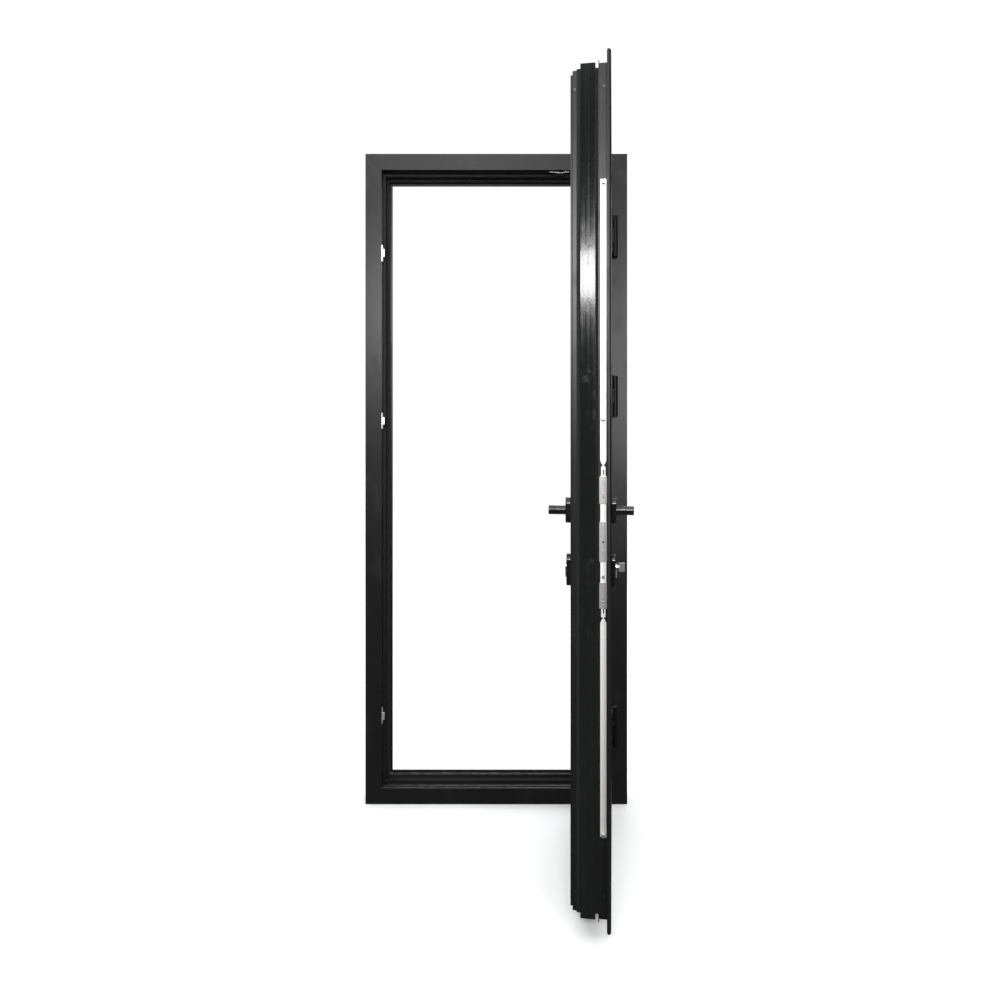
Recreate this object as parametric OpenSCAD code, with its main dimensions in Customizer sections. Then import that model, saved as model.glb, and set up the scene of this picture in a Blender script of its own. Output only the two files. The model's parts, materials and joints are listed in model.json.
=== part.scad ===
// Thermally broken aluminium glass door with its frame.
// One inward-opening leaf hangs on three barrel hinges on the right jamb and
// locks into the left jamb with sliding rods.  Millimetres, +Z up.
// Origin: middle of the sill's underside, on the plane of the frame's room face.
// +Y runs from the room to the outside.

/* [Frame] */
// Overall width of the frame
frame_w = 845; // [650:5:1200]
// Overall height of the frame
frame_h = 2100; // [1850:5:2600]
// Depth of the frame from room face to outside face
frame_depth = 85; // [82:1:110]
// Width of the frame's room face
face_leg = 52; // [46:1:60]
// Depth of the aluminium shell on the room side
room_depth = 26; // [24:1:32]
// Reach of the thermal break's nose from the outer edge
nose_reach = 60.4; // [59:0.2:61]
// Reach of the outside shell from the outer edge
outer_reach = 71.4; // [66:0.2:71.6]
// Reach of the outside lip from the outer edge
lip_reach = 78.5; // [74:0.5:79]
// Thickness of the outside lip
lip_t = 5; // [3:0.5:6]
// Wall thickness of every extrusion
wall = 2; // [1.6:0.1:2.4]

/* [Leaf] */
// Angle at which the leaf stands open
open_deg = 81; // [0:1:110]
// Distance from the frame's outer edge to the leaf's flange
leaf_inset = 45; // [42:0.5:46]
// How far the leaf's room face stands in front of the frame
leaf_front = 10; // [8:0.5:12]
// Thickness of the overlapping flange
flange_t = 8.7; // [7:0.1:8.8]
// Bevel on the flange's front corner
flange_bevel = 3; // [1:0.5:4]
// Inset of the hardware groove's floor from the flange's edge
groove_floor = 21.5; // [21:0.1:22.5]
// Width of the hardware groove
groove_w = 18.5; // [18:0.1:19]
// Inset of the thermal break's outer face from the flange's edge
break_edge = 20; // [19.6:0.1:21]
// Width of the stile from the flange's edge to the sight line
stile_w = 94; // [88:1:110]
// Width of the glazing bead as seen from the room
bead_w = 22; // [18:1:26]

/* [Glass] */
// Thickness of one pane
pane_t = 6; // [4:0.5:8]
// Width of the cavity between the panes
cavity_w = 20; // [12:1:24]
// Gap between the pane's edge and the rebate's floor
pane_gap = 5; // [4:0.5:7]

/* [Hinges] */
// Length of one hinge barrel
hinge_l = 130; // [100:2:150]
// Radius of the hinge barrel
hinge_r = 9.25; // [8:0.05:9.3]
// Radius of the hinge pin
hinge_pin_r = 4; // [3:0.25:5]
// Distance from the frame's outer edge to the hinge axis
hinge_inset = 42.7; // [41:0.1:43]
// Height of the bottom hinge's middle
hinge_low_z = 256; // [220:2:320]
// Height of the middle hinge's middle
hinge_mid_z = 1316; // [1150:2:1400]
// Distance from the frame's top to the top hinge's middle
hinge_top_drop = 272; // [240:2:340]

/* [Lock] */
// Height of the lever's axis above the sill's underside
lever_z = 1003; // [960:1:1060]
// Distance from the lever's axis down to the cylinder's axis
cylinder_drop = 132; // [110:1:140]
// Distance from the groove's floor to the lever's axis
backset = 34.5; // [34:0.5:36]
// Number of teeth on the lever's pinion
pinion_teeth = 17; // [16:1:17]
// Module of the pinion and its rack
tooth_module = 1.5; // [1.4:0.02:1.5]
// Quarter turn of the lever from unlocked to locked
lever_turn = 90; // [60:5:90]
// Gap between a drive rod and each wall of the groove
rod_side_gap = 2; // [1.8:0.1:3]
// Thickness of a drive rod
rod_t = 2.5; // [2:0.1:2.7]
// Radius of a locking pin
lock_pin_r = 4.5; // [3.5:0.25:4.5]
// Distance from the frame's top to the top keep's middle
keep_top_drop = 320; // [280:5:380]
// Height of the middle keep's middle
keep_mid_z = 1238; // [1180:2:1300]
// Height of the bottom keep's middle
keep_low_z = 284; // [240:2:340]
// Height of one keep plate
keep_h = 51; // [44:1:56]

/* [Handles] */
// Projection of a lever from the leaf's face
lever_out = 52; // [46:1:60]
// Height of the lever's grip at the neck
lever_h = 21; // [16:0.5:22]
// Height of the lever's grip at its tip
lever_tip_h = 13; // [10:0.5:16]
// Length of the lever's grip from its axis
lever_l = 118; // [90:1:130]
// Height of a rosette
rosette_h = 60; // [50:1:66]
// Thickness of a rosette
rosette_t = 12; // [8:0.5:13]
// Height of a cylinder escutcheon
escutcheon_h = 75; // [60:1:80]
// Thickness of a cylinder escutcheon
escutcheon_t = 10; // [6:0.5:11]
// Width of the rosettes and escutcheons
plate_w = 32; // [28:1:36]

/* [Hidden] */
$fn = 48;

// Colours
paint = [0.055, 0.056, 0.052];
steel = [0.78, 0.79, 0.78];
rubber = [0.02, 0.02, 0.02];

// Clearances
run = 0.3;          // between pieces that slide or swing past each other
fit = 0.05;         // radial clearance of a shaft in its bore
slack = 0.25;       // of a cleat in its chamber
seal_gap = 1.3;     // between the flange's back and the frame's face
far = 400;          // longer than any section is deep
reach_max = 120;    // wider than any section is broad
mitre_saw = 0.15;   // half the cut between lengths that share a node

// Frame section
groove_y0 = 4;                              // hardware groove in the frame's land
groove_y1 = 18;
groove_d = 3;
nose_y = 39;                                // room side of the break's nose
outer_y = frame_depth - 23;                 // room side of the outside shell
inner_bar_u = face_leg - 6;                 // back of the land-side break bar
wall_bar = [3, 8];                          // break bar near the wall
gasket_top = nose_reach + 2.3;

// Leaf section: p is the inset from the flange's edge, w the depth from the room face
leaf_w = frame_w - 2 * leaf_inset;
leaf_h = frame_h - 2 * leaf_inset;
leaf_depth = frame_depth + leaf_front - 1;
leaf_room_w = room_depth + leaf_front;      // back of the room shell
leaf_outer_w = outer_y + leaf_front - 1.4;  // front of the outside shell
groove_end_w = flange_t + groove_w;
lip_end_w = groove_end_w + wall;
lip_p = groove_floor - 4.5;
notch_p = groove_floor + 7.2;
step1_p = outer_reach + 2.1 - leaf_inset;
step2_p = step1_p + 2.5;
step3_p = lip_reach + 4.3 - leaf_inset;
step1_w = leaf_outer_w + 9;
step2_w = leaf_depth - lip_t - 0.2;
edge_bar_w = 16;                            // width of the break bar at the edge
rebate_bar_w = 5.5;                         // width of the break bar at the rebate
rebate_p = stile_w - bead_w;                // floor of the glazing rebate
glass_w0 = leaf_room_w + 4;                 // room face of the glass
glass_w1 = glass_w0 + 2 * pane_t + cavity_w;
rebate_lip_w = glass_w1 + 4;                // fixed lip outside the glass
bead_front = 2;
pane_p = rebate_p + pane_gap;

// Hinge axis and heights
pivot_x = frame_w / 2 - hinge_inset;
pivot_y = -leaf_front - hinge_r - 0.75;
hinge_zs = [hinge_low_z, hinge_mid_z, frame_h - hinge_top_drop];
knuckle_h = hinge_l / 3;
stem_x0 = frame_w / 2 - leaf_inset + 0.5;   // clear of the leaf's flange
wing_t = 3.5;
wing_l = 48;

// Lock gear
leaf_left_x = -leaf_w / 2;
rack_pitch_r = pinion_teeth * tooth_module / 2;
rod_travel = rack_pitch_r * lever_turn * PI / 180;
rod_mid_w = flange_t + groove_w / 2;        // middle of the hardware groove
rod_w = groove_w - 2 * rod_side_gap;
rod_p0 = groove_floor - run - rod_t;        // outer face of the rods
guide_t = 2;
guide_p0 = rod_p0 - 0.4 - guide_t;          // outer face of the guide plates
spindle_p = groove_floor + backset;
spindle_a = 8;
cylinder_z = lever_z - cylinder_drop;
keep_zs = [keep_low_z, keep_mid_z, frame_h - keep_top_drop];
pin_rest = rod_travel + 2;                  // pins stand this far below their keeps
pin_tip_p = 10;
keep_t = 2.2;
case_t = groove_w - 3;                      // the case is narrower than the groove
case_p0 = groove_floor + wall + 0.2;
case_p1 = rebate_p - 3.5;
case_z0 = cylinder_z - 56;
case_z1 = lever_z + 57;
case_w0 = rod_mid_w - case_t / 2;
guides = [[lever_z - 222, lever_z - 163], [lever_z - 114.5, lever_z - 24],
          [lever_z + 18, lever_z + 80]];
// A guide's lower screw stands high enough for the bar's slot to stay under the guide
function guide_screws_between(z0, z1) = [z0 + rod_travel + slot_half + 1, z1 - 8];
slot_half = 3;                              // slots that run past the guides' screws
guide_screw_zs = [for (g = guides) each guide_screws_between(g[0], g[1])];
guide_holes = [[lever_z - 70, 2.3], [lever_z + 33, 1.6]];   // height and radius
bar_z0 = lever_z - 242.5;
bar_z1 = lever_z + 103.5;
rod_gap = 4.5;                              // neck between the bar and a rod
lower_rod_z0 = keep_low_z - pin_rest - 6;
upper_rod_z1 = frame_h - keep_top_drop - pin_rest + 8;
cylinder_r = 8.5;
cylinder_drop_h = 24.5;                     // web below the cylinder's axis
cylinder_proud = 3;
plug_r = 6.5;
cam_w0 = rod_mid_w - 3;
cam_t = 6;
cam_l = 15;
cylinder_screw_z = cylinder_z - 19;
cylinder_head_r = 3.9;                      // its screw's head, sunk in the groove's floor
cylinder_head_t = 1.2;
cylinder_w0 = -escutcheon_t - cylinder_proud;
cylinder_w1 = leaf_depth + escutcheon_t + cylinder_proud;

// ---- shared shapes -------------------------------------------------------

// Turns the leaf from its closed place to where it stands
module swing() {
    translate([pivot_x, pivot_y, 0]) rotate([0, 0, open_deg])
        translate([-pivot_x, -pivot_y, 0]) children();
}

// One mitred length: the section's x runs inward from the outer edge.  A saw cut
// parts lengths of one node that would otherwise meet at their mitres.
module member(len, reach, saw) {
    intersection() {
        linear_extrude(len) children();
        translate([0, far / 2, 0]) rotate([90, 0, 0]) linear_extrude(far)
            polygon([[0, saw], [reach, reach + saw], [reach, len - reach - saw], [0, len - saw]]);
    }
}

// Puts a length on one side of a w by h rectangle whose bottom is at z0
module on_side(side, w, h, z0) {
    if (side == "left") translate([-w / 2, 0, z0]) children();
    if (side == "right") translate([w / 2, 0, z0]) mirror([1, 0, 0]) children();
    if (side == "top") translate([-w / 2, 0, z0 + h]) rotate([0, 90, 0]) children();
    if (side == "bottom")
        translate([-w / 2, 0, z0]) mirror([0, 0, 1]) rotate([0, 90, 0]) children();
}

function side_len(side, w, h) = (side == "left" || side == "right") ? h : w;

module frame_member(side, saw = 0) {
    on_side(side, frame_w, frame_h, 0)
        member(side_len(side, frame_w, frame_h), reach_max, saw) children();
}

module leaf_member(side, saw = 0) {
    translate([0, -leaf_front, 0]) on_side(side, leaf_w, leaf_h, leaf_inset)
        member(side_len(side, leaf_w, leaf_h), reach_max, saw) children();
}

SIDES = ["left", "right", "top", "bottom"];

// A round rod along Y from y0 to y1
module rod_y(r, x, y0, y1, z) {
    translate([x, y1, z]) rotate([90, 0, 0]) cylinder(r = r, h = y1 - y0);
}

// A round rod along X from x0 to x1
module rod_x(r, x0, x1, y, z) {
    translate([x0, y, z]) rotate([0, 90, 0]) cylinder(r = r, h = x1 - x0);
}

// A box given by its two corners
module box(a, b) {
    translate(a) cube(b - a);
}

// A box in the closed leaf, given as [p, w, z] corners measured from the lock edge
module leaf_box(a, b) {
    box([leaf_left_x + a[0], a[1] - leaf_front, a[2]],
        [leaf_left_x + b[0], b[1] - leaf_front, b[2]]);
}

// An outline with semicircular ends, w wide and h high, spread along Y
module stadium(w, h, x, y0, y1, z) {
    translate([x, y1, z]) rotate([90, 0, 0]) linear_extrude(y1 - y0) union() {
        square([w, h - w], center = true);
        translate([0, (h - w) / 2]) circle(d = w);
        translate([0, -(h - w) / 2]) circle(d = w);
    }
}

// The profile of a lock cylinder, grown by g on every side
module cylinder_profile(g) {
    circle(r = cylinder_r + g);
    translate([-5 - g, -cylinder_drop_h - g]) square([10 + 2 * g, cylinder_drop_h + g]);
}

module cylinder_block(g, w0, w1) {
    translate([leaf_left_x + spindle_p, w1 - leaf_front, cylinder_z])
        rotate([90, 0, 0]) linear_extrude(w1 - w0) cylinder_profile(g);
}

// ---- frame ---------------------------------------------------------------

module frame_room_section() {
    difference() {
        polygon([[0, 0], [face_leg, 0], [face_leg, groove_y0],
                 [face_leg - groove_d, groove_y0], [face_leg - groove_d, groove_y1],
                 [face_leg, groove_y1], [face_leg, room_depth], [0, room_depth]]);
        translate([wall, wall])
            square([face_leg - groove_d - 2 * wall, room_depth - 2 * wall]);
    }
}

module frame_outer_section() {
    lip_y = frame_depth - lip_t;
    difference() {
        polygon([[0, outer_y], [outer_reach, outer_y], [outer_reach, lip_y],
                 [lip_reach, lip_y], [lip_reach, frame_depth], [0, frame_depth]]);
        translate([wall, outer_y + wall])
            square([outer_reach - 2 * wall, frame_depth - outer_y - 2 * wall]);
    }
}

module frame_break_section() {
    difference() {
        polygon([[inner_bar_u, room_depth], [face_leg, room_depth], [face_leg, nose_y],
                 [nose_reach, nose_y], [nose_reach, outer_y], [inner_bar_u, outer_y]]);
        polygon([[inner_bar_u + wall, room_depth + wall],
                 [face_leg - wall, room_depth + wall],
                 [face_leg - wall, nose_y + wall], [nose_reach - wall, nose_y + wall],
                 [nose_reach - wall, outer_y - wall], [inner_bar_u + wall, outer_y - wall]]);
    }
    translate([wall_bar[0], room_depth])
        square([wall_bar[1] - wall_bar[0], outer_y - room_depth]);
}

// Fixing holes along the jambs' hardware groove
fixing_r = 3.25;
fixing_y = (groove_y0 + groove_y1) / 2;
fixing_end = 100;
fixing_n = 4;
fixing_step = (frame_h - 2 * fixing_end) / (fixing_n - 1);

module fixing_holes() {
    for (i = [0 : fixing_n - 1])
        rod_x(fixing_r, -frame_w / 2 - 1, frame_w / 2 + 1, fixing_y,
              fixing_end + i * fixing_step);
}

module frame_left_room_shell() {
    color(paint) difference() {
        frame_member("left") frame_room_section();
        fixing_holes();
        keep_screw_shanks(2.2);
    }
}

module frame_right_room_shell() {
    color(paint) difference() {
        frame_member("right") frame_room_section();
        fixing_holes();
        for (z = hinge_zs) hinge_studs(z, 3.1);
    }
}

module frame_head_room_shell() { color(paint) frame_member("top") frame_room_section(); }
module frame_sill_room_shell() { color(paint) frame_member("bottom") frame_room_section(); }
module frame_left_outer_shell() { color(paint) frame_member("left") frame_outer_section(); }
module frame_right_outer_shell() { color(paint) frame_member("right") frame_outer_section(); }
module frame_head_outer_shell() { color(paint) frame_member("top") frame_outer_section(); }
module frame_sill_outer_shell() { color(paint) frame_member("bottom") frame_outer_section(); }

module frame_thermal_breaks() {
    color(rubber) for (s = SIDES) frame_member(s, mitre_saw) frame_break_section();
}

module frame_centre_gasket() {
    color(rubber) for (s = SIDES) frame_member(s)
        polygon([[nose_reach, nose_y + 2], [gasket_top - 0.4, nose_y + 4],
                 [gasket_top, nose_y + 8], [gasket_top - 0.4, nose_y + 13],
                 [nose_reach, nose_y + 17]]);
}

// An L-shaped cleat that fills a chamber at one corner, arms measured from the corner
module cleat(u0, u1, y0, y1, arm) {
    box([u0 + slack, y0 + slack, u0 + slack], [u1 - slack, y1 - slack, arm]);
    box([u0 + slack, y0 + slack, u0 + slack], [arm, y1 - slack, u1 - slack]);
}

module at_corners(w, h, z0) {
    for (sx = [0, 1], sz = [0, 1])
        translate([sx ? w / 2 : -w / 2, 0, sz ? z0 + h : z0])
            mirror([sx, 0, 0]) mirror([0, 0, sz]) children();
}

cleat_arm = 95;

module frame_corner_cleats() {
    color(steel) at_corners(frame_w, frame_h, 0) {
        cleat(wall, face_leg - groove_d - wall, wall, room_depth - wall, cleat_arm);
        cleat(wall, outer_reach - wall, outer_y + wall, frame_depth - wall, cleat_arm);
    }
}

// ---- keeps ---------------------------------------------------------------

keep_x = -frame_w / 2 + face_leg;
keep_rib_h = 24;
keep_rib_out = 9.5;
keep_y1 = 20;
keep_y0 = 0.5;
keep_screw_off = 18;
keep_rib_y1 = rod_mid_w - leaf_front - lock_pin_r - run;

module keep_screw_shanks(r) {
    for (z = keep_zs, s = [-1, 1])
        rod_x(r, keep_x - groove_d - wall - 6, keep_x + keep_t, fixing_y,
              z + s * keep_screw_off);
}

module keep(z) {
    color(steel) difference() {
        union() {
            box([keep_x, keep_y0, z - keep_h / 2], [keep_x + keep_t, keep_y1, z + keep_h / 2]);
            box([keep_x, keep_y0, z - keep_rib_h / 2],
                [keep_x + keep_rib_out, keep_rib_y1, z + keep_rib_h / 2]);
        }
        for (s = [-1, 1])
            translate([keep_x, fixing_y, z + s * keep_screw_off]) rotate([0, 90, 0]) {
                translate([0, 0, -1]) cylinder(r = 2.2, h = 5);
                translate([0, 0, keep_t - 1.6]) cylinder(r1 = 2.2, r2 = 4.4, h = 2.2);
            }
    }
}

module keep_top() { keep(keep_zs[2]); }
module keep_middle() { keep(keep_zs[1]); }
module keep_bottom() { keep(keep_zs[0]); }

module keep_screws() {
    color(steel) for (z = keep_zs, s = [-1, 1])
        translate([keep_x, fixing_y, z + s * keep_screw_off]) rotate([0, 90, 0]) {
            translate([0, 0, -groove_d - wall - 4])
                cylinder(r = 2.1, h = groove_d + wall + 4 + keep_t - 1);
            translate([0, 0, keep_t - 1.5]) cylinder(r1 = 2.1, r2 = 3.7, h = 1.5);
        }
}

// ---- hinges --------------------------------------------------------------

stem_x1 = pivot_x + hinge_r;
stud_x = (stem_x0 + stem_x1) / 2;
stud_l = 14;

module hinge_studs(z, r) {
    for (s = [-1, 1]) rod_y(r, stud_x, -1, stud_l, z + s * (knuckle_h));
}

// Upper and lower knuckles on stems that stand on the frame's face
module hinge_frame_half(z) {
    color(paint) difference() {
        union() {
            for (s = [-1, 1]) translate([0, 0, z + s * (knuckle_h + run / 2)]) {
                translate([pivot_x, pivot_y, -knuckle_h / 2 + run / 2])
                    cylinder(r = hinge_r, h = knuckle_h - run);
                box([stem_x0, pivot_y, -knuckle_h / 2 + run / 2],
                    [stem_x1, 0, knuckle_h / 2 - run / 2]);
            }
            hinge_studs(z, 3);
        }
        translate([pivot_x, pivot_y, z - hinge_l])
            cylinder(r = hinge_pin_r + fit / 2, h = 2 * hinge_l);
    }
}

module hinge_top_frame_half() { hinge_frame_half(hinge_zs[2]); }
module hinge_middle_frame_half() { hinge_frame_half(hinge_zs[1]); }
module hinge_bottom_frame_half() { hinge_frame_half(hinge_zs[0]); }

module hinge_pins() {
    color(steel) for (z = hinge_zs)
        translate([pivot_x, pivot_y, z - hinge_l / 2 + 1]) cylinder(r = hinge_pin_r, h = hinge_l - 2);
}

module hinge_nuts() {
    color(steel) for (z = hinge_zs, s = [-1, 1])
        translate([stud_x, stud_l - 2, z + s * knuckle_h]) rotate([90, 0, 0]) difference() {
            cylinder(r = 6, h = stud_l - 2 - wall, $fn = 6);
            translate([0, 0, -1]) cylinder(r = 3.02, h = stud_l);
        }
}

hinge_screw_xs = [pivot_x - hinge_r - 22, pivot_x - hinge_r - 42];
hinge_screw_off = [hinge_l * 0.16, hinge_l * 0.4];
hinge_screw_r = 2.4;

module at_hinge_screws(z) {
    for (x = hinge_screw_xs, o = hinge_screw_off, s = [-1, 1])
        translate([x, -leaf_front - wing_t, z + s * o]) rotate([-90, 0, 0]) children();
}

// Middle knuckle and the wing screwed to the leaf's room face
module hinge_leaf_half(z) {
    wing_x1 = pivot_x - hinge_r - 0.9;
    color(paint) swing() difference() {
        union() {
            translate([pivot_x, pivot_y, z - knuckle_h / 2 + run / 2])
                cylinder(r = hinge_r, h = knuckle_h - run);
            box([wing_x1 - 4, -leaf_front - 6.5, z - knuckle_h / 2 + run / 2],
                [pivot_x, -leaf_front - 2.5, z + knuckle_h / 2 - run / 2]);
            box([wing_x1 - wing_l, -leaf_front - wing_t, z - hinge_l / 2],
                [wing_x1, -leaf_front, z + hinge_l / 2]);
        }
        translate([pivot_x, pivot_y, z - hinge_l])
            cylinder(r = hinge_pin_r + fit, h = 2 * hinge_l);
        at_hinge_screws(z) {
            translate([0, 0, -1]) cylinder(r = 2.6, h = 8);
            translate([0, 0, -0.01]) cylinder(r1 = 5, r2 = 2.6, h = 2.4);
        }
    }
}

module hinge_top_leaf_half() { hinge_leaf_half(hinge_zs[2]); }
module hinge_middle_leaf_half() { hinge_leaf_half(hinge_zs[1]); }
module hinge_bottom_leaf_half() { hinge_leaf_half(hinge_zs[0]); }

module hinge_screws() {
    color(steel) swing() for (z = hinge_zs) at_hinge_screws(z) {
        cylinder(r1 = 4.7, r2 = hinge_screw_r, h = 2.3);
        translate([0, 0, 2]) cylinder(r = hinge_screw_r, h = 12);
    }
}

// ---- leaf ----------------------------------------------------------------

module leaf_room_section() {
    difference() {
        polygon([[0, flange_bevel], [flange_bevel, 0], [rebate_p, 0],
                 [rebate_p, leaf_room_w], [notch_p, leaf_room_w], [notch_p, lip_end_w],
                 [lip_p, lip_end_w], [lip_p, groove_end_w], [groove_floor, groove_end_w],
                 [groove_floor, flange_t], [5.8, flange_t], [5.8, flange_t - wall],
                 [1.8, flange_t - wall], [1.8, flange_t], [0, flange_t]]);
        polygon([[7.8, wall], [rebate_p - wall, wall],
                 [rebate_p - wall, leaf_room_w - wall],
                 [notch_p + wall, leaf_room_w - wall], [notch_p + wall, groove_end_w],
                 [groove_floor + wall, groove_end_w],
                 [groove_floor + wall, flange_t - wall], [7.8, flange_t - wall]]);
    }
}

module leaf_outer_section() {
    difference() {
        polygon([[step1_p, leaf_outer_w], [rebate_p, leaf_outer_w],
                 [rebate_p, rebate_lip_w], [stile_w, rebate_lip_w], [stile_w, leaf_depth],
                 [step3_p, leaf_depth], [step3_p, step2_w], [step2_p, step2_w],
                 [step2_p, step1_w], [step1_p, step1_w]]);
        polygon([[step2_p + wall, leaf_outer_w + wall],
                 [rebate_p - wall, leaf_outer_w + wall],
                 [rebate_p - wall, rebate_lip_w + wall],
                 [stile_w - wall, rebate_lip_w + wall], [stile_w - wall, leaf_depth - wall],
                 [step3_p + wall, leaf_depth - wall], [step3_p + wall, step2_w - wall],
                 [step2_p + wall, step2_w - wall]]);
    }
}

module hollow_bar(p0, p1, w0, w1) {
    difference() {
        translate([p0, w0]) square([p1 - p0, w1 - w0]);
        translate([p0 + wall, w0 + wall])
            square([p1 - p0 - 2 * wall, w1 - w0 - 2 * wall]);
    }
}

// Holes that the lock's spindle and cylinder need through the lock stile
module lock_holes() {
    rod_y(7, leaf_left_x + spindle_p, -leaf_front - 1, leaf_depth, lever_z);
    cylinder_block(0.5, -1, leaf_depth + 1);
}

module leaf_lock_room_shell() {
    color(paint) swing() difference() {
        leaf_member("left") leaf_room_section();
        lock_holes();
        leaf_box([groove_floor - 1, rod_mid_w - 4, lug_z0 - 2],
                 [groove_floor + wall + 1, rod_mid_w + 4, lug_z1 + rod_travel + 2]);
        groove_screws(2.2);
    }
}

module leaf_hinge_room_shell() {
    color(paint) swing() difference() {
        leaf_member("right") leaf_room_section();
        for (z = hinge_zs) at_hinge_screws(z)
            translate([0, 0, wing_t - 1]) cylinder(r = hinge_screw_r + 0.1, h = wall + 2);
    }
}

module leaf_top_room_shell() { color(paint) swing() leaf_member("top") leaf_room_section(); }
module leaf_bottom_room_shell() {
    color(paint) swing() leaf_member("bottom") leaf_room_section();
}

module leaf_lock_outer_shell() {
    color(paint) swing() difference() {
        leaf_member("left") leaf_outer_section();
        lock_holes();
    }
}

module leaf_hinge_outer_shell() {
    color(paint) swing() leaf_member("right") leaf_outer_section();
}
module leaf_top_outer_shell() { color(paint) swing() leaf_member("top") leaf_outer_section(); }
module leaf_bottom_outer_shell() {
    color(paint) swing() leaf_member("bottom") leaf_outer_section();
}

module leaf_thermal_breaks() {
    color(rubber) swing() for (s = SIDES) leaf_member(s, mitre_saw) {
        hollow_bar(break_edge, break_edge + edge_bar_w, leaf_room_w, leaf_outer_w);
        hollow_bar(rebate_p - rebate_bar_w, rebate_p, leaf_room_w, leaf_outer_w);
    }
}

module leaf_overlap_gasket() {
    color(rubber) swing() for (s = SIDES) leaf_member(s)
        polygon([[1.8, flange_t - wall], [5.8, flange_t - wall], [5.8, flange_t],
                 [5, flange_t + seal_gap - run], [2.6, flange_t + seal_gap - run],
                 [1.8, flange_t]]);
}

module leaf_corner_cleats() {
    color(steel) swing() translate([0, -leaf_front, 0])
        at_corners(leaf_w, leaf_h, leaf_inset) {
            cleat(notch_p + wall, rebate_p - wall, wall, leaf_room_w - wall, cleat_arm);
            cleat(step2_p + wall, rebate_p - wall, leaf_outer_w + wall, step2_w - wall,
                  cleat_arm);
        }
}

// Screws that pull the cleats into the stiles, on both upright edges
cleat_screw_end = 75;
cleat_screw_w = [rod_mid_w - 2, (step1_w + step2_w) / 2];

module leaf_cleat_screws() {
    color(steel) swing() translate([0, -leaf_front, 0]) at_corners(leaf_w, leaf_h, leaf_inset) {
        rod_x(3.4, groove_floor - 1.4, groove_floor, cleat_screw_w[0], cleat_screw_end);
        rod_x(3.4, step2_p - 1.2, step2_p, cleat_screw_w[1], cleat_screw_end);
    }
}

// ---- glass ---------------------------------------------------------------

module pane(w0, w1) {
    leaf_box([pane_p, w0, leaf_inset + pane_p],
             [leaf_w - pane_p, w1, leaf_inset + leaf_h - pane_p]);
}

module pane_room_side() { color([0.6, 0.75, 0.72, 0.35]) swing() pane(glass_w0, glass_w0 + pane_t); }
module pane_outside() { color([0.6, 0.75, 0.72, 0.35]) swing() pane(glass_w1 - pane_t, glass_w1); }

spacer_h = 12;
module pane_spacer() {
    color(rubber) swing() difference() {
        pane(glass_w0 + pane_t, glass_w1 - pane_t);
        leaf_box([pane_p + spacer_h, glass_w0, leaf_inset + pane_p + spacer_h],
                 [leaf_w - pane_p - spacer_h, glass_w1,
                  leaf_inset + leaf_h - pane_p - spacer_h]);
    }
}

// Blocks that carry the glass: two under it, one beside it on each stile
module setting_blocks() {
    inset = 100;
    color(rubber) swing() {
        for (p = [pane_p + inset, leaf_w - pane_p - inset - 80])
            leaf_box([p, glass_w0, leaf_inset + rebate_p], [p + 80, glass_w1, leaf_inset + pane_p]);
        leaf_box([rebate_p, glass_w0, leaf_inset + leaf_h - pane_p - inset - 80],
                 [pane_p, glass_w1, leaf_inset + leaf_h - pane_p - inset]);
        leaf_box([leaf_w - pane_p, glass_w0, leaf_inset + pane_p + inset],
                 [leaf_w - rebate_p, glass_w1, leaf_inset + pane_p + inset + 80]);
    }
}

module glazing_beads() {
    color(paint) swing() for (s = SIDES) leaf_member(s, mitre_saw) difference() {
        polygon([[rebate_p, bead_front], [stile_w - 2, bead_front], [stile_w, bead_front + 2],
                 [stile_w, leaf_room_w], [rebate_p, leaf_room_w]]);
        translate([rebate_p + wall, bead_front + wall])
            square([bead_w - 2 * wall, leaf_room_w - bead_front - 2 * wall]);
    }
}

// One ring on each side of the glass
module glazing_gaskets() {
    gasket_w = 7;
    color(rubber) swing() for (w = [[leaf_room_w, glass_w0], [glass_w1, rebate_lip_w]])
        for (s = SIDES) leaf_member(s)
            translate([stile_w - gasket_w - 1, w[0]]) square([gasket_w, w[1] - w[0]]);
}

// ---- lock ----------------------------------------------------------------

lug_z0 = lever_z - 20;
lug_z1 = lever_z;
rack_h = 56;
rack_z0 = lever_z - rod_travel / 2 - rack_h / 2;
boss_r = 8.5;

// Screws through the groove's floor: six hold the guides, one holds the cylinder
module groove_screws(r) {
    for (z = concat(guide_screw_zs, [cylinder_screw_z]))
        rod_x(r, leaf_left_x + groove_floor - 1, leaf_left_x + groove_floor + wall + 1,
              rod_mid_w - leaf_front, z);
    rod_x(cylinder_head_r + fit, leaf_left_x + groove_floor - 1,
          leaf_left_x + groove_floor + cylinder_head_t, rod_mid_w - leaf_front,
          cylinder_screw_z);
}

module lock_case() {
    color(steel) swing() difference() {
        leaf_box([case_p0, case_w0, case_z0], [case_p1, case_w0 + case_t, case_z1]);
        leaf_box([case_p0 + 1.5, case_w0 + 1.5, case_z0 + 1.5],
                 [case_p1 - 1.5, case_w0 + case_t - 1.5, case_z1 - 1.5]);
        rod_y(boss_r + fit, leaf_left_x + spindle_p, case_w0 - leaf_front - 1,
              case_w0 + case_t - leaf_front + 1, lever_z);
        cylinder_block(0.3, case_w0 - 1, case_w0 + case_t + 1);
        leaf_box([case_p0 - 1, rod_mid_w - 3.6, lug_z0 - 2],
                 [case_p0 + 3, rod_mid_w + 3.6, lug_z1 + rod_travel + 2]);
        for (z = concat(guide_screw_zs, [cylinder_screw_z]))
            rod_x(2.3, leaf_left_x + case_p0 - 1, leaf_left_x + case_p0 + 3,
                  rod_mid_w - leaf_front, z);
    }
}

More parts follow.
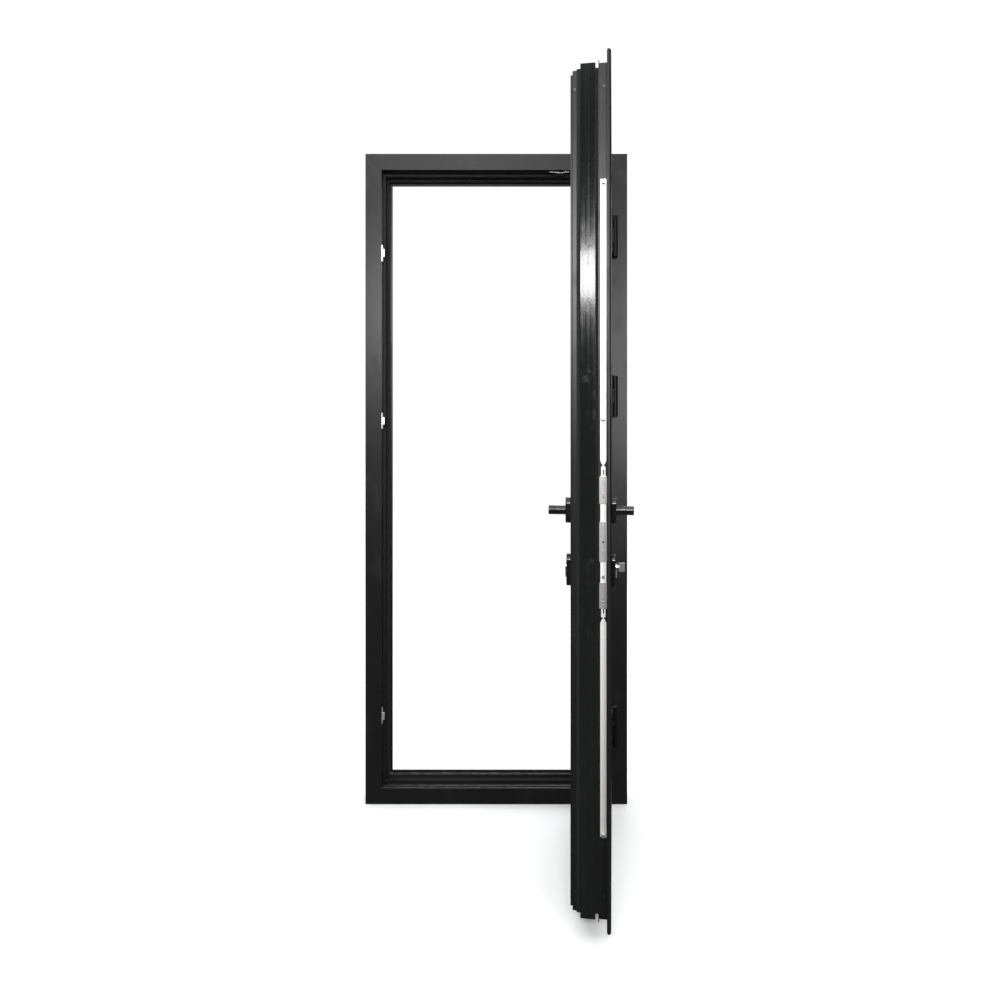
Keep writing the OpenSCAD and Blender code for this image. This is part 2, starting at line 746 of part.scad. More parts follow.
// A channel-shaped guide that keeps the drive bar on the groove's floor
module guide_plate(z0, z1) {
    half = groove_w / 2 - 0.2;
    leg = 1.2;
    color(steel) swing() difference() {
        leaf_box([guide_p0, rod_mid_w - half, z0], [groove_floor, rod_mid_w + half, z1]);
        leaf_box([guide_p0 + guide_t, rod_mid_w - half + leg, z0 - 1],
                 [groove_floor + 1, rod_mid_w + half - leg, z1 + 1]);
        for (h = concat([for (z = guide_screws_between(z0, z1)) [z, 2.3]], guide_holes))
            rod_x(h[1], leaf_left_x + guide_p0 - 1, leaf_left_x + guide_p0 + guide_t + 1,
                  rod_mid_w - leaf_front, h[0]);
    }
}

module guide_plate_top() { guide_plate(guides[2][0], guides[2][1]); }
module guide_plate_middle() { guide_plate(guides[1][0], guides[1][1]); }
module guide_plate_bottom() { guide_plate(guides[0][0], guides[0][1]); }

module guide_screws() {
    y = rod_mid_w - leaf_front;
    color(steel) swing() {
        for (z = guide_screw_zs) {
            rod_x(2.1, leaf_left_x + guide_p0 - 0.5, leaf_left_x + case_p0 + 5, y, z);
            rod_x(3.8, leaf_left_x + guide_p0 - 1.2, leaf_left_x + guide_p0, y, z);
        }
        rod_x(2.1, leaf_left_x + groove_floor, leaf_left_x + spindle_p + 1, y,
              cylinder_screw_z);
        rod_x(cylinder_head_r, leaf_left_x + groove_floor,
              leaf_left_x + groove_floor + cylinder_head_t, y, cylinder_screw_z);
    }
}

// Drive bar in the groove, with the rack that the lever's pinion drives
module drive_bar() {
    y = rod_mid_w - leaf_front;
    half = rod_w / 2 - 0.5;
    end_half = 5;
    end_h = 21.5;
    neck_half = 1.6;
    eye_half = 1.4;
    eye = [8, end_h - 2];
    color(steel) swing() {
        difference() {
            union() {
                leaf_box([rod_p0, rod_mid_w - half, bar_z0 + end_h],
                         [rod_p0 + rod_t, rod_mid_w + half, bar_z1 - end_h]);
                leaf_box([rod_p0, rod_mid_w - end_half, bar_z0],
                         [rod_p0 + rod_t, rod_mid_w + end_half, bar_z1]);
                leaf_box([rod_p0, rod_mid_w - neck_half, bar_z0 - rod_gap],
                         [rod_p0 + rod_t, rod_mid_w + neck_half, bar_z1 + rod_gap]);
            }
            for (z = [bar_z0 + eye[0], bar_z1 - eye[1]])
                leaf_box([rod_p0 - 1, rod_mid_w - eye_half, z],
                         [rod_p0 + rod_t + 1, rod_mid_w + eye_half, z + eye[1] - eye[0]]);
            for (h = concat(guide_holes, [[cylinder_screw_z, cylinder_head_r + fit]]))
                rod_x(h[1], leaf_left_x + rod_p0 - 1, leaf_left_x + rod_p0 + rod_t + 1, y, h[0]);
            for (z = guide_screw_zs)
                leaf_box([rod_p0 - 1, rod_mid_w - slot_half, z - rod_travel - slot_half],
                         [rod_p0 + rod_t + 1, rod_mid_w + slot_half, z + slot_half]);
        }
        leaf_box([rod_p0 + rod_t, rod_mid_w - 2.5, lug_z0], [rack_p0 + 1, rod_mid_w + 2.5, lug_z1]);
        translate([leaf_left_x, y + 3, 0]) rotate([90, 0, 0]) linear_extrude(6) rack_section();
    }
}

pressure = 20;
rack_back = 6;
rack_p0 = spindle_p - rack_pitch_r - 1.25 * tooth_module - rack_back;
function rack_tooth_half(d) = (PI * tooth_module / 2 - 0.3) / 2 - d * tan(pressure);

module rack_section() {
    pitch = PI * tooth_module;
    root = spindle_p - rack_pitch_r - 1.25 * tooth_module;
    tip = spindle_p - rack_pitch_r + tooth_module;
    n0 = ceil((rack_z0 - lever_z) / pitch) + 1;
    n1 = floor((rack_z0 + rack_h - lever_z) / pitch) - 1;
    translate([rack_p0, rack_z0]) square([rack_back, rack_h]);
    for (n = [n0 : n1])
        translate([0, lever_z + (n + 0.5) * pitch])
            polygon([[root - 0.5, -rack_tooth_half(-1.25 * tooth_module)],
                     [tip, -rack_tooth_half(tooth_module)],
                     [tip, rack_tooth_half(tooth_module)],
                     [root - 0.5, rack_tooth_half(-1.25 * tooth_module)]]);
}

// Involute tooth flank: half the tooth's angle at radius r
base_r = rack_pitch_r * cos(pressure);
function roll(a) = tan(a) - a * PI / 180;
function tooth_half(r) = 90 / pinion_teeth - 0.35
    + (roll(pressure) - roll(acos(min(1, base_r / r)))) * 180 / PI;
pinion_root = rack_pitch_r - 1.25 * tooth_module;
pinion_tip = rack_pitch_r + tooth_module;
flank_rs = [for (i = [0 : 4]) base_r + (pinion_tip - base_r) * i / 4];

// A sector of teeth is enough for the lever's quarter turn
sector_teeth = [-1 : ceil(lever_turn * pinion_teeth / 360) ];
function pinion_polar() = [for (k = sector_teeth)
    let (c = 180 + k * 360 / pinion_teeth) each concat(
        [[pinion_root, c - tooth_half(base_r)]],
        [for (r = flank_rs) [r, c - tooth_half(r)]],
        [for (i = [4 : -1 : 0]) [flank_rs[i], c + tooth_half(flank_rs[i])]],
        [[pinion_root, c + tooth_half(base_r)]])];
function pinion_points() = concat([[0, 0]],
    [for (q = pinion_polar()) [q[0] * cos(q[1]), q[0] * sin(q[1])]]);

// Upper and lower rods, each with a tapered end towards the drive bar
module rod_outline(z0, z1, taper_at_top) {
    half = rod_w / 2;
    tip = 3.5;
    taper = 9;
    polygon(taper_at_top
        ? [[-half, z0], [half, z0], [half, z1 - taper], [tip, z1], [-tip, z1],
           [-half, z1 - taper]]
        : [[-tip, z0], [tip, z0], [half, z0 + taper], [half, z1], [-half, z1],
           [-half, z0 + taper]]);
}

module rod_plate(z0, z1, taper_at_top) {
    translate([leaf_left_x + rod_p0, rod_mid_w - leaf_front, 0])
        rotate([90, 0, 90]) linear_extrude(rod_t) rod_outline(z0, z1, taper_at_top);
}

module drive_rods() {
    color(steel) swing() {
        rod_plate(bar_z1 + rod_gap, upper_rod_z1, false);
        rod_plate(lower_rod_z0, bar_z0 - rod_gap, true);
    }
}

module locking_pins() {
    y = rod_mid_w - leaf_front;
    color(steel) swing() for (z = keep_zs) {
        rod_x(lock_pin_r, leaf_left_x + pin_tip_p, leaf_left_x + rod_p0, y, z - pin_rest);
    }
}

// ---- handles -------------------------------------------------------------

spindle_x = leaf_left_x + spindle_p;
y_in = -leaf_front;                     // room face of the leaf
y_out = leaf_depth - leaf_front;        // outside face of the leaf
neck_r = lever_h / 2;
grip_t = 12;

module rosette(y0, y1) {
    color(paint) swing() difference() {
        stadium(plate_w, rosette_h, spindle_x, y0, y1, lever_z);
        rod_y(neck_r + fit, spindle_x, y0 - 1, y1 + 1, lever_z);
    }
}

module rosette_room() { rosette(y_in - rosette_t, y_in); }
module rosette_outside() { rosette(y_out, y_out + rosette_t); }

module escutcheon(y0, y1) {
    color(paint) swing() difference() {
        stadium(plate_w, escutcheon_h, spindle_x, y0, y1, cylinder_z - 8);
        cylinder_block(0.3, y0 + leaf_front - 1, y1 + leaf_front + 1);
    }
}

module escutcheon_room() { escutcheon(y_in - escutcheon_t, y_in); }
module escutcheon_outside() { escutcheon(y_out, y_out + escutcheon_t); }

// Neck and grip: s is -1 on the room side and 1 outside
module lever(face, s) {
    y_tip = face + s * lever_out;
    y_grip = y_tip - s * grip_t;
    tip_x = lever_l - lever_tip_h / 2;
    color(paint) swing() difference() {
        union() {
            rod_y(neck_r, spindle_x, min(face + s * run, y_tip), max(face + s * run, y_tip),
                  lever_z);
            translate([spindle_x, max(y_tip, y_grip), lever_z]) rotate([90, 0, 0])
                linear_extrude(grip_t) union() {
                    polygon([[0, -lever_h / 2], [tip_x, -lever_h / 2],
                             [tip_x, lever_tip_h - lever_h / 2], [0, lever_h / 2]]);
                    translate([tip_x, (lever_tip_h - lever_h) / 2]) circle(d = lever_tip_h);
                }
        }
        translate([spindle_x, face + s * (lever_out / 2 - 8), lever_z])
            cube([spindle_a + 0.2, lever_out + 8, spindle_a + 0.2], center = true);
    }
}

module lever_room() { lever(y_in, -1); }
module lever_outside() { lever(y_out, 1); }

// Square spindle with the pinion that drives the rack
module lever_spindle() {
    reach = lever_out - 20;
    y_mid = rod_mid_w - leaf_front;
    color(steel) swing() {
        box([spindle_x - spindle_a / 2, y_in - reach, lever_z - spindle_a / 2],
            [spindle_x + spindle_a / 2, y_out + reach, lever_z + spindle_a / 2]);
        rod_y(boss_r, spindle_x, case_w0 - leaf_front, case_w0 + case_t - leaf_front, lever_z);
        translate([spindle_x, y_mid + 3, lever_z]) rotate([90, 0, 0])
            linear_extrude(6) polygon(pinion_points());
    }
}

// ---- cylinder ------------------------------------------------------------

// Both plugs run in one bore, and the cam between them in a slot across the body
module lock_cylinder() {
    color(steel) swing() difference() {
        cylinder_block(0, cylinder_w0, cylinder_w1);
        rod_y(plug_r + fit, spindle_x, y_in + cylinder_w0 - 1, y_in + cylinder_w1 + 1,
              cylinder_z);
        leaf_box([spindle_p - 2 * cam_l, cam_w0 - run, cylinder_z - cam_l - 2],
                 [spindle_p + 2 * cam_l, cam_w0 + cam_t + run, cylinder_z + cam_l]);
        rod_x(2.2, spindle_x - 8, spindle_x + 2, rod_mid_w - leaf_front, cylinder_screw_z);
    }
}

knob_t = 14;
knob_w = 9;
knob_h = 21.7;
knob_neck_r = 5.5;
turn_out = 31;
cam_h = 7;

module thumb_turn() {
    knob_y0 = y_in - turn_out;
    color(steel) swing() {
        rod_y(plug_r, spindle_x, y_in + cylinder_w0, y_in + cam_w0 + cam_t - run, cylinder_z);
        rod_y(knob_neck_r, spindle_x, knob_y0 + knob_t - 1, y_in + cylinder_w0, cylinder_z);
        intersection() {
            rod_y(knob_h / 2, spindle_x, knob_y0, knob_y0 + knob_t, cylinder_z);
            translate([spindle_x, knob_y0 + knob_t / 2, cylinder_z])
                cube([knob_w, knob_t + 2, knob_h + 2], center = true);
        }
        box([spindle_x - cam_h / 2, y_in + cam_w0, cylinder_z - cam_l],
            [spindle_x + cam_h / 2, y_in + cam_w0 + cam_t - run, cylinder_z]);
    }
}

// Outside plug with its keyway
module key_plug() {
    keyway = [1.6, 22, 7.5];
    color(steel) swing() difference() {
        rod_y(plug_r, spindle_x, y_in + cam_w0 + cam_t + 2 * run, y_in + cylinder_w1, cylinder_z);
        translate([spindle_x, y_in + cylinder_w1, cylinder_z - 1.5])
            cube([keyway[0], 2 * keyway[1], keyway[2]], center = true);
    }
}

frame_left_room_shell();
frame_right_room_shell();
frame_head_room_shell();
frame_sill_room_shell();
frame_left_outer_shell();
frame_right_outer_shell();
frame_head_outer_shell();
frame_sill_outer_shell();
frame_thermal_breaks();
frame_corner_cleats();
frame_centre_gasket();
keep_top();
keep_middle();
keep_bottom();
keep_screws();
hinge_top_frame_half();
hinge_middle_frame_half();
hinge_bottom_frame_half();
hinge_pins();
hinge_nuts();
leaf_lock_room_shell();
leaf_hinge_room_shell();
leaf_top_room_shell();
leaf_bottom_room_shell();
leaf_lock_outer_shell();
leaf_hinge_outer_shell();
leaf_top_outer_shell();
leaf_bottom_outer_shell();
leaf_thermal_breaks();
leaf_corner_cleats();
leaf_cleat_screws();
leaf_overlap_gasket();
pane_room_side();
pane_outside();
pane_spacer();
setting_blocks();
glazing_beads();
glazing_gaskets();
hinge_top_leaf_half();
hinge_middle_leaf_half();
hinge_bottom_leaf_half();
hinge_screws();
lock_case();
guide_plate_top();
guide_plate_middle();
guide_plate_bottom();
guide_screws();
rosette_room();
rosette_outside();
escutcheon_room();
escutcheon_outside();
lock_cylinder();
lever_room();
lever_outside();
lever_spindle();
drive_bar();
drive_rods();
locking_pins();
thumb_turn();
key_plug();
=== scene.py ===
import json
import math

import bmesh
import bpy
from mathutils import Matrix, Vector


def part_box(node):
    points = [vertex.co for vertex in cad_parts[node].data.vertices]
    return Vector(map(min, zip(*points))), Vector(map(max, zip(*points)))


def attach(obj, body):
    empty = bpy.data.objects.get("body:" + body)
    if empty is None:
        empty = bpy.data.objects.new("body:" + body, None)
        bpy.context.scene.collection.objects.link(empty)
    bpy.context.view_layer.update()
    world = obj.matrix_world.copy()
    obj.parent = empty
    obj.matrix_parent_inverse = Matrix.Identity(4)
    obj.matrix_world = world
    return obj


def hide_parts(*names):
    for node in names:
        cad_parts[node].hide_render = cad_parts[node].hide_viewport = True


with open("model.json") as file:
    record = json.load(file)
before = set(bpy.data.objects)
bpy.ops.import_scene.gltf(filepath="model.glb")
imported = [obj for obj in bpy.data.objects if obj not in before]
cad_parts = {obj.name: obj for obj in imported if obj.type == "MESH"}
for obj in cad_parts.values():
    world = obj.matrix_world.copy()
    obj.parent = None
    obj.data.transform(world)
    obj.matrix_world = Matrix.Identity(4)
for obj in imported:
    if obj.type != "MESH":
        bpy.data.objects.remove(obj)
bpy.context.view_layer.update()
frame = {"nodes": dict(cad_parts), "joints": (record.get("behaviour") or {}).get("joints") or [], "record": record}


# ---- Frame shells --------------------------------------------------------------
# Four mitred lengths of extruded aluminium make the room half of the frame and four
# the outside half.  They are crimped on corner cleats and powder-coated satin black.

NODES = frame["nodes"]
BODY_OF = {node: body for body, nodes in frame["record"]["behaviour"]["bodies"].items()
           for node in nodes}


class Value:
    """A number that varies over a surface: +, * and 1 - value on it add Math nodes."""

    def __init__(self, owner, socket):
        self.owner = owner
        self.socket = socket

    def _math(self, operation, first, second):
        return self.owner.node("ShaderNodeMath", {"operation": operation}, first, second)

    def __add__(self, other):
        return self._math("ADD", self, other)

    def __rsub__(self, other):
        return self._math("SUBTRACT", other, self)

    def __mul__(self, other):
        return self._math("MULTIPLY", self, other)

    __radd__ = __add__
    __rmul__ = __mul__


class Nodes:
    """A shader's node tree."""

    def __init__(self, tree):
        self.tree = tree

    def node(self, kind, settings=None, *values, out=0, **named):
        """Adds one node: its settings first, then its sockets by number or by name."""
        node = self.tree.nodes.new(kind)
        for setting, value in (settings or {}).items():
            setattr(node, setting, value)
        for socket, value in [*enumerate(values), *named.items()]:
            self.feed(node.inputs[socket], value)
        return Value(self, node.outputs[out])

    def feed(self, socket, value):
        if isinstance(value, Value):
            self.tree.links.new(value.socket, socket)
        elif value is not None:
            socket.default_value = value

    def patches(self, value, low, high):
        """0 below low, 1 above high, smooth between."""
        return self.node("ShaderNodeMapRange", {"interpolation_type": "SMOOTHSTEP"},
                         value, low, high)


class Finish(Nodes):
    """A material with one Principled shader, patterned on Object coordinates."""

    def __init__(self, name, **constants):
        self.material = bpy.data.materials.new(name)
        self.material.use_nodes = True
        super().__init__(self.material.node_tree)
        self.shader = self.tree.nodes["Principled BSDF"]
        self.place = self.node("ShaderNodeTexCoord", out="Object")
        self.set(**constants)

    def set(self, **sockets):
        """Sets the shader's own sockets: Base_Color is the socket Base Color."""
        for name, value in sockets.items():
            self.feed(self.shader.inputs[name.replace("_", " ")], value)

    def noise(self, scale, stretch=(1, 1, 1), detail=3, roughness=0.5):
        """Clouds from 0 to 1, drawn out along an axis whose stretch is small."""
        at = self.node("ShaderNodeVectorMath", {"operation": "MULTIPLY"}, self.place, stretch)
        return self.node("ShaderNodeTexNoise", None, Vector=at, Scale=scale, Detail=detail,
                         Roughness=roughness)

    def mix(self, mask, under, over):
        """The colour under where mask is 0 and over where it is 1."""
        unused = [None] * 5     # the Mix node's sockets for numbers and vectors
        return self.node("ShaderNodeMix", {"data_type": "RGBA"}, mask, *unused, under, over,
                         out=2)

    def upward(self):
        """1 on faces that look up, where dust settles."""
        normal = self.node("ShaderNodeNewGeometry", out="Normal")
        height = self.node("ShaderNodeSeparateXYZ", None, normal, out="Z")
        return self.patches(height, 0.6, 0.95)

    def band(self, axis, start, end, fade=0.0006):
        """1 between two places along the vector axis, 0 before and after them."""
        place = self.node("ShaderNodeVectorMath", {"operation": "DOT_PRODUCT"}, self.place, axis,
                          out="Value")
        return self.patches(place, start, start + fade) * (
            1 - self.patches(place, end - fade, end))

    def bump(self, height, depth, strength=1.0):
        self.set(Normal=self.node("ShaderNodeBump", None, Strength=strength, Distance=depth,
                                  Height=height))


def powder_coat(name, colour, roughness, peel, shine=0.35, across=(0, 1, 0), recesses=()):
    """Powder coat: orange peel, cloudy gloss, hand marks and dust on the ledges.

    Recesses are matt with grime; each lies between two places along the vector across.
    """
    coat = Finish(name, Specular_IOR_Level=shine)
    grime = sum(coat.band(across, start, end) for start, end in recesses)
    clouds = coat.noise(3.1, (1, 1, 0.45))
    marks = coat.patches(coat.noise(17, (1, 1, 0.6), detail=5), 0.52, 0.72)
    streaks = coat.noise(120, (1, 1, 0.012), detail=2)
    dust = coat.upward() * coat.patches(coat.noise(60, detail=6), 0.35, 0.75)
    specks = coat.patches(coat.noise(420, detail=1), 0.74, 0.80)
    worn = tuple(c * 1.9 + 0.003 for c in colour[:3]) + (1,)
    dust_grey = (0.16, 0.155, 0.145, 1)
    tinted = coat.mix(0.25 * marks + 0.25 * streaks, colour, worn)
    coat.set(Base_Color=coat.mix(0.5 * dust + 0.22 * specks, tinted, dust_grey),
             Roughness=roughness + 0.14 * clouds + 0.10 * marks + 0.25 * dust + 0.42 * grime)
    coat.bump(coat.noise(peel, detail=2) + 0.35 * clouds, 0.00005, 0.5)
    return coat.material


def merged_copy(node):
    """A CAD node's mesh with its loose triangles joined."""
    shape = bmesh.new()
    shape.from_mesh(NODES[node].data)
    bmesh.ops.remove_doubles(shape, verts=shape.verts, dist=2e-6)
    return shape


def softened(node, radius, material, smooth=50):
    """A copy of a CAD node with its corners eased, which stands for that node."""
    shape = merged_copy(node)
    bmesh.ops.dissolve_limit(shape, angle_limit=math.radians(0.5), verts=shape.verts,
                             edges=shape.edges)
    mesh = bpy.data.meshes.new(node + "_eased")
    shape.to_mesh(mesh)
    shape.free()
    piece = add_piece(node + "_eased", mesh, material)
    ease(piece, radius, smooth)
    return stand_for(piece, node)


def add_piece(name, mesh, material):
    """Puts a mesh in the scene as a piece of one material."""
    piece = bpy.data.objects.new(name, mesh)
    bpy.context.scene.collection.objects.link(piece)
    mesh.materials.clear()
    mesh.materials.append(material)
    return piece


def ease(piece, radius, smooth=50):
    """Bevels the corners that turn by more than smooth degrees and leaves the flats flat."""
    piece.data.polygons.foreach_set("use_smooth", [True] * len(piece.data.polygons))
    bevel = piece.modifiers.new("ease", "BEVEL")
    bevel.width = radius
    bevel.segments = 2
    bevel.limit_method = "ANGLE"
    bevel.angle_limit = math.radians(smooth)
    flats = piece.modifiers.new("flats", "WEIGHTED_NORMAL")
    flats.mode = "FACE_AREA"
    flats.weight = 100
    keep_result(piece)


def keep_result(piece):
    """Replaces a piece's mesh by what its modifiers make of it."""
    graph = bpy.context.evaluated_depsgraph_get()
    mesh = bpy.data.meshes.new_from_object(piece.evaluated_get(graph))
    piece.modifiers.clear()
    piece.data = mesh


def stand_for(piece, *nodes):
    """Rides on the nodes' body and hides them."""
    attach(piece, BODY_OF[nodes[0]])
    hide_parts(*nodes)
    return piece


EXTRUSION_CORNER = 0.0005
ORANGE_PEEL = 1500
LIP = 0.006             # the outside lip, which grime doesn't reach
rebate_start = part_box("frame_left_outer_shell")[0][1] - 0.002
rebate_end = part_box("frame_left_outer_shell")[1][1] - LIP
frame_coat = powder_coat("satin_black_coat", (0.0026, 0.0028, 0.0026, 1), 0.25, ORANGE_PEEL)
rebate_coat = powder_coat("rebate_black_coat", (0.0024, 0.0026, 0.0024, 1), 0.28, ORANGE_PEEL,
                          recesses=((rebate_start, rebate_end),))
for side in ("left", "right", "head", "sill"):
    softened(f"frame_{side}_room_shell", EXTRUSION_CORNER, frame_coat)
    softened(f"frame_{side}_outer_shell", EXTRUSION_CORNER, rebate_coat)


# ---- Frame thermal break and centre gasket -------------------------------------
# Glass-filled polyamide bars are rolled in between the two halves.  A soft rubber
# gasket sits on their nose and meets the closed leaf.

def drawn_plastic(name, colour, roughness, grain, shine=0.3):
    """Extruded plastic: fine lines along its length and a little bloom."""
    plastic = Finish(name, Specular_IOR_Level=shine)
    lines = plastic.noise(grain, (1, 1, 0.01), detail=3)
    bloom = plastic.patches(plastic.noise(22, detail=5), 0.5, 0.8)
    dust = plastic.upward() * plastic.patches(plastic.noise(80, detail=5), 0.35, 0.7)
    pale = tuple(c + 0.008 for c in colour[:3]) + (1,)
    plastic.set(Base_Color=plastic.mix(0.3 * bloom + 0.25 * lines + 0.6 * dust, colour, pale),
                Roughness=roughness + 0.18 * lines + 0.1 * bloom)
    plastic.bump(lines, 0.00004, 0.6)
    return plastic.material


def ring(name, outline, width, height, bottom, front, material):
    """A mitred ring: outline holds (inset, depth) pairs, counted from the outer edge."""
    mesh = bpy.data.meshes.new(name)
    corners = [(-1, False), (1, False), (1, True), (-1, True)]
    points = [(side * (width / 2 - inset), front + depth,
               bottom + (height - inset if up else inset))
              for side, up in corners for inset, depth in outline]
    count = len(outline)
    faces = []
    for corner in range(4):
        here, there = corner * count, (corner + 1) % 4 * count
        for i in range(count):
            after = (i + 1) % count
            faces.append((here + i, here + after, there + after, there + i))
    mesh.from_pydata(points, [], faces)
    shape = bmesh.new()
    shape.from_mesh(mesh)
    bmesh.ops.recalc_face_normals(shape, faces=shape.faces)
    shape.to_mesh(mesh)
    shape.free()
    return add_piece(name, mesh, material)


break_matt = drawn_plastic("break_polyamide", (0.004, 0.0042, 0.004, 1), 0.42, 900, 0.2)
softened("frame_thermal_breaks", 0.0003, break_matt)

rubber = drawn_plastic("black_rubber", (0.0035, 0.0035, 0.0035, 1), 0.55, 500, 0.15)


def lipped(base, front, back, rise, lips=3):
    """A soft seal's outline: a flat base, and a row of small lips that rise from it."""
    outline = [(base, front), (base, back)]
    for k in range(lips, 0, -1):
        start, end = (front + (back - front) * (k - s) / lips for s in (1, 0))
        outline += [(base + 0.45 * rise, end - 0.1 * (end - start)),
                    (base + rise, (start + end) / 2 + 0.1 * (end - start)),
                    (base + 0.45 * rise, start + 0.1 * (end - start))]
    return outline


low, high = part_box("frame_left_room_shell")
frame_w, frame_h = -2 * low[0], high[2] - low[2]
low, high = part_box("frame_centre_gasket")
seat = (frame_w - (high[0] - low[0])) / 2
gasket = ring("centre_gasket", lipped(seat, low[1], high[1], 0.0023), frame_w, frame_h, 0, 0,
              rubber)
stand_for(gasket, "frame_centre_gasket")


# ---- Frame corner cleats -------------------------------------------------------
# Die-cast aluminium angles are hidden in the hollow corners of the frame and of the
# leaf.  The mitred lengths are crimped onto them, and in the leaf they are screwed too.

def cast_metal(name, colour, roughness):
    """Raw casting: a grainy skin with darker clouds."""
    metal = Finish(name, Metallic=1.0)
    skin = metal.noise(900, detail=4)
    clouds = metal.noise(35, detail=4)
    dark = tuple(c * 0.6 for c in colour[:3]) + (1,)
    metal.set(Base_Color=metal.mix(0.6 * clouds, colour, dark), Roughness=roughness + 0.2 * skin)
    metal.bump(skin, 0.0001, 0.6)
    return metal.material


cast_aluminium = cast_metal("cast_aluminium", (0.55, 0.55, 0.54, 1), 0.45)
for node in ("frame_corner_cleats", "leaf_corner_cleats"):
    softened(node, 0.0006, cast_aluminium)


# ---- Film scrap ----------------------------------------------------------------
# A torn shred of clear protective film is still caught in the head's groove, with its
# wavy free edge hanging out.

def film_shred(start, length, drop):
    """A wavy strip along X that hangs from its start."""
    steps = 48
    shape = bmesh.new()
    rows = []
    for k in range(steps + 1):
        s = k / steps
        sway = 0.0016 * math.sin(14 * s) + 0.0009 * math.sin(37 * s + 1)
        sag = drop * (0.35 + 0.4 * math.sin(math.pi * s) ** 2 + 0.25 * math.sin(23 * s) ** 2)
        width = 0.0022 + 0.0012 * math.sin(9 * s + 0.5) ** 2
        x = start[0] + length * s
        rows.append([shape.verts.new((x, start[1] + sway, start[2] - sag + width)),
                     shape.verts.new((x + 0.001 * math.sin(11 * s), start[1] + 0.5 * sway,
                                      start[2] - sag))])
    for left, right in zip(rows, rows[1:]):
        shape.faces.new((left[0], left[1], right[1], right[0]))
    mesh = bpy.data.meshes.new("film_shred")
    shape.to_mesh(mesh)
    shape.free()
    return mesh


def clear_film():
    """Crumpled film that lets some light through."""
    film = Finish("clear_film", Transmission_Weight=0.35, IOR=1.4)
    creases = film.noise(300, (1, 1, 0.3), detail=4)
    film.set(Base_Color=film.mix(creases, (0.55, 0.56, 0.56, 1), (0.92, 0.93, 0.93, 1)),
             Roughness=0.2 + 0.3 * creases)
    film.bump(creases, 0.0004, 0.8)
    return film.material


low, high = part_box("frame_head_room_shell")
shred_start = (0.4095 * high[0], 0.011, low[2] + 0.0005)     # under the head, by the hinges
shred = add_piece("film_shred", film_shred(shred_start, length=0.064, drop=0.0085),
                  clear_film())
thick = shred.modifiers.new("thick", "SOLIDIFY")
thick.thickness = 0.0003
keep_result(shred)
shred.data.polygons.foreach_set("use_smooth", [True] * len(shred.data.polygons))
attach(shred, "frame")


# ---- Keeps ---------------------------------------------------------------------
# Three bright zinc keeps are screwed into the lock jamb's groove.  A locking pin
# slides up behind the rib of each.

def bright_zinc(name, colour, roughness, brushed=(1, 1, 1), shade=0.55):
    """Zinc plate with dull clouds and spots: a small number in brushed is its grain's axis."""
    zinc = Finish(name, Metallic=1.0)
    lines = zinc.noise(700, brushed, detail=3)
    clouds = zinc.noise(28, detail=5)
    spots = zinc.patches(zinc.noise(260, detail=2), 0.64, 0.74)
    dull = tuple(c * shade for c in colour[:3]) + (1,)
    zinc.set(Base_Color=zinc.mix(0.45 * clouds + 0.3 * spots, colour, dull),
             Roughness=roughness + 0.16 * lines + 0.12 * clouds)
    zinc.bump(lines + 0.3 * clouds, 0.00003, 0.5)
    return zinc.material


keep_zinc = bright_zinc("keep_zinc", (0.86, 0.86, 0.85, 1), 0.24)
for node in ("keep_top", "keep_middle", "keep_bottom"):
    softened(node, 0.0006, keep_zinc)


# ---- Screws --------------------------------------------------------------------
# Cross-recessed screws hold the keeps, the hinge wings, the lock's guides and the
# leaf's corner cleats.  Each kind is one head set on the places of its CAD shanks.

PROUD = 0.0001          # a countersunk head stands this far out of its plate


def screw_head(name, radius, rise, sunk):
    """A head with a cross recess: it rises above z 0, and its cone is sunk below."""
    around = 24
    angles = [math.tau * k / around for k in range(around)]
    shape = bmesh.new()
    outline = [(radius * 0.52, -sunk), (radius, -0.12 * radius), (radius * 0.93, rise * 0.6),
               (radius * 0.6, rise)]
    rows = [[shape.verts.new((r * math.cos(a), r * math.sin(a), z)) for a in angles]
            for r, z in outline]
    for low, high in zip(rows, rows[1:]):
        for k in range(around):
            shape.faces.new((low[k], low[(k + 1) % around], high[(k + 1) % around], high[k]))
    shape.faces.new(reversed(rows[0]))
    arm, half, depth = radius * 0.5, radius * 0.13, radius * 0.45
    cross = [(half, half), (half, arm), (-half, arm), (-half, half), (-arm, half), (-arm, -half),
             (-half, -half), (-half, -arm), (half, -arm), (half, -half), (arm, -half), (arm, half)]
    rim = [shape.verts.new((x, y, rise * 1.02)) for x, y in cross]
    floor = [shape.verts.new((x * 0.55, y * 0.55, rise - depth)) for x, y in cross]
    for k in range(12):
        shape.faces.new((rim[k], rim[(k + 1) % 12], floor[(k + 1) % 12], floor[k]))
    shape.faces.new(reversed(floor))
    edges = [e for e in shape.edges if e.is_boundary]
    bmesh.ops.triangle_fill(shape, use_beauty=True, edges=edges)
    bmesh.ops.recalc_face_normals(shape, faces=shape.faces)
    mesh = bpy.data.meshes.new(name)
    shape.to_mesh(mesh)
    shape.free()
    return bpy.data.objects.new(name, mesh)


